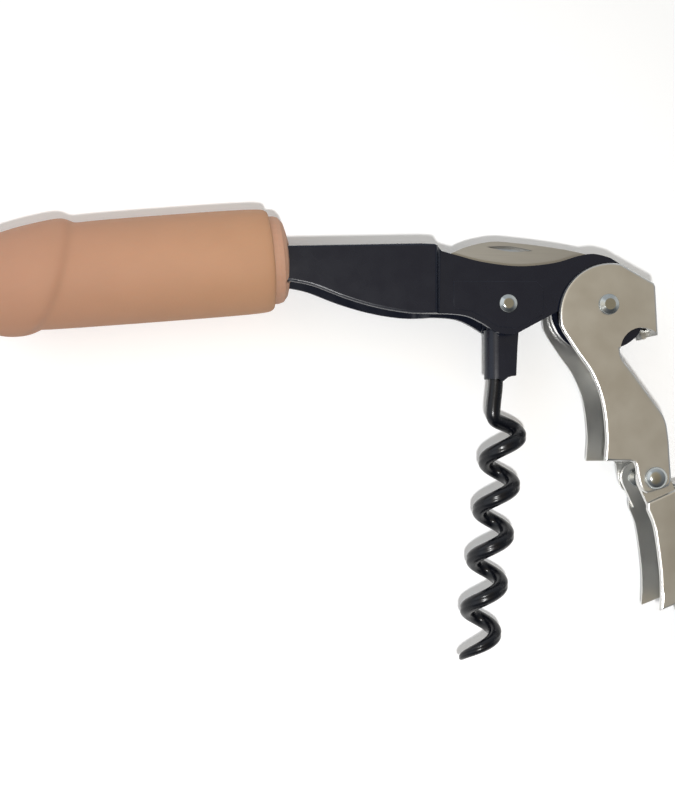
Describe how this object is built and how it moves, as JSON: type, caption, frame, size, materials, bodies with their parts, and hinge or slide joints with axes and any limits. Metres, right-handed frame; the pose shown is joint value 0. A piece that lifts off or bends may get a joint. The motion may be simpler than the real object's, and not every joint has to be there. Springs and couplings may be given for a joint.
{
  "type": "wine bottle opener",
  "caption": "Waiter's corkscrew with a folding worm, a jointed rim lever with a cap notch, a foil knife and a soft moulded grip.",
  "frame": {"origin": "middle of the footprint, on the table that the tool lies on", "axes": "+X from the grip to the lever, +Y from the worm side to the knife side, +Z away from the table, parallel to every pivot"},
  "size_m": [0.1448, 0.0838, 0.0207],
  "materials": {
    "black_paint": "gloss black enamel on folded sheet steel",
    "black_coat": "slick black non-stick coat on grooved wire",
    "nickel_plate": "satin nickel plate on stamped steel",
    "blade_steel": "satin stainless blade",
    "rivet_steel": "turned plated rivet",
    "washer_steel": "plain steel washer",
    "soft_skin": "matte moulded elastomer, peach coloured",
    "soft_core": "firmer moulded elastomer of the same colour"
  },
  "bodies": {
    "body": {"body_channel": "black_paint", "grip_sleeve": "soft_skin", "grip_core": "soft_core", "worm_rivet": "rivet_steel", "worm_washer_front": "washer_steel", "worm_washer_back": "washer_steel", "lever_rivet": "rivet_steel", "knife_spacer_front": "washer_steel", "knife_spacer_back": "washer_steel"},
    "worm_unit": {"worm_carrier": "black_paint", "worm": "black_coat"},
    "first_arm": {"lever_first_arm": "nickel_plate", "step_rivet_front": "rivet_steel", "step_rivet_back": "rivet_steel"},
    "second_arm": {"lever_second_arm": "nickel_plate"},
    "knife": {"knife_blade": "blade_steel"}
  },
  "joints": [
    {"name": "worm_fold", "type": "hinge", "parent": "body", "child": "worm_unit", "pos_m": [0.02953, 0.02496, 0.01033], "axis": [0, 0, 1], "range_deg": [-76, 0]},
    {"name": "lever_fold", "type": "hinge", "parent": "body", "child": "first_arm", "pos_m": [0.04863, 0.02496, 0.01033], "axis": [0, 0, 1], "range_deg": [-20, 15]},
    {"name": "second_step", "type": "hinge", "parent": "first_arm", "child": "second_arm", "pos_m": [0.05763, -0.00774, 0.01033], "axis": [0, 0, 1], "range_deg": [-24, 65]},
    {"name": "knife_open", "type": "hinge", "parent": "body", "child": "knife", "pos_m": [0.04863, 0.02496, 0.01033], "axis": [0, 0, 1], "range_deg": [-48, 0]}
  ]
}
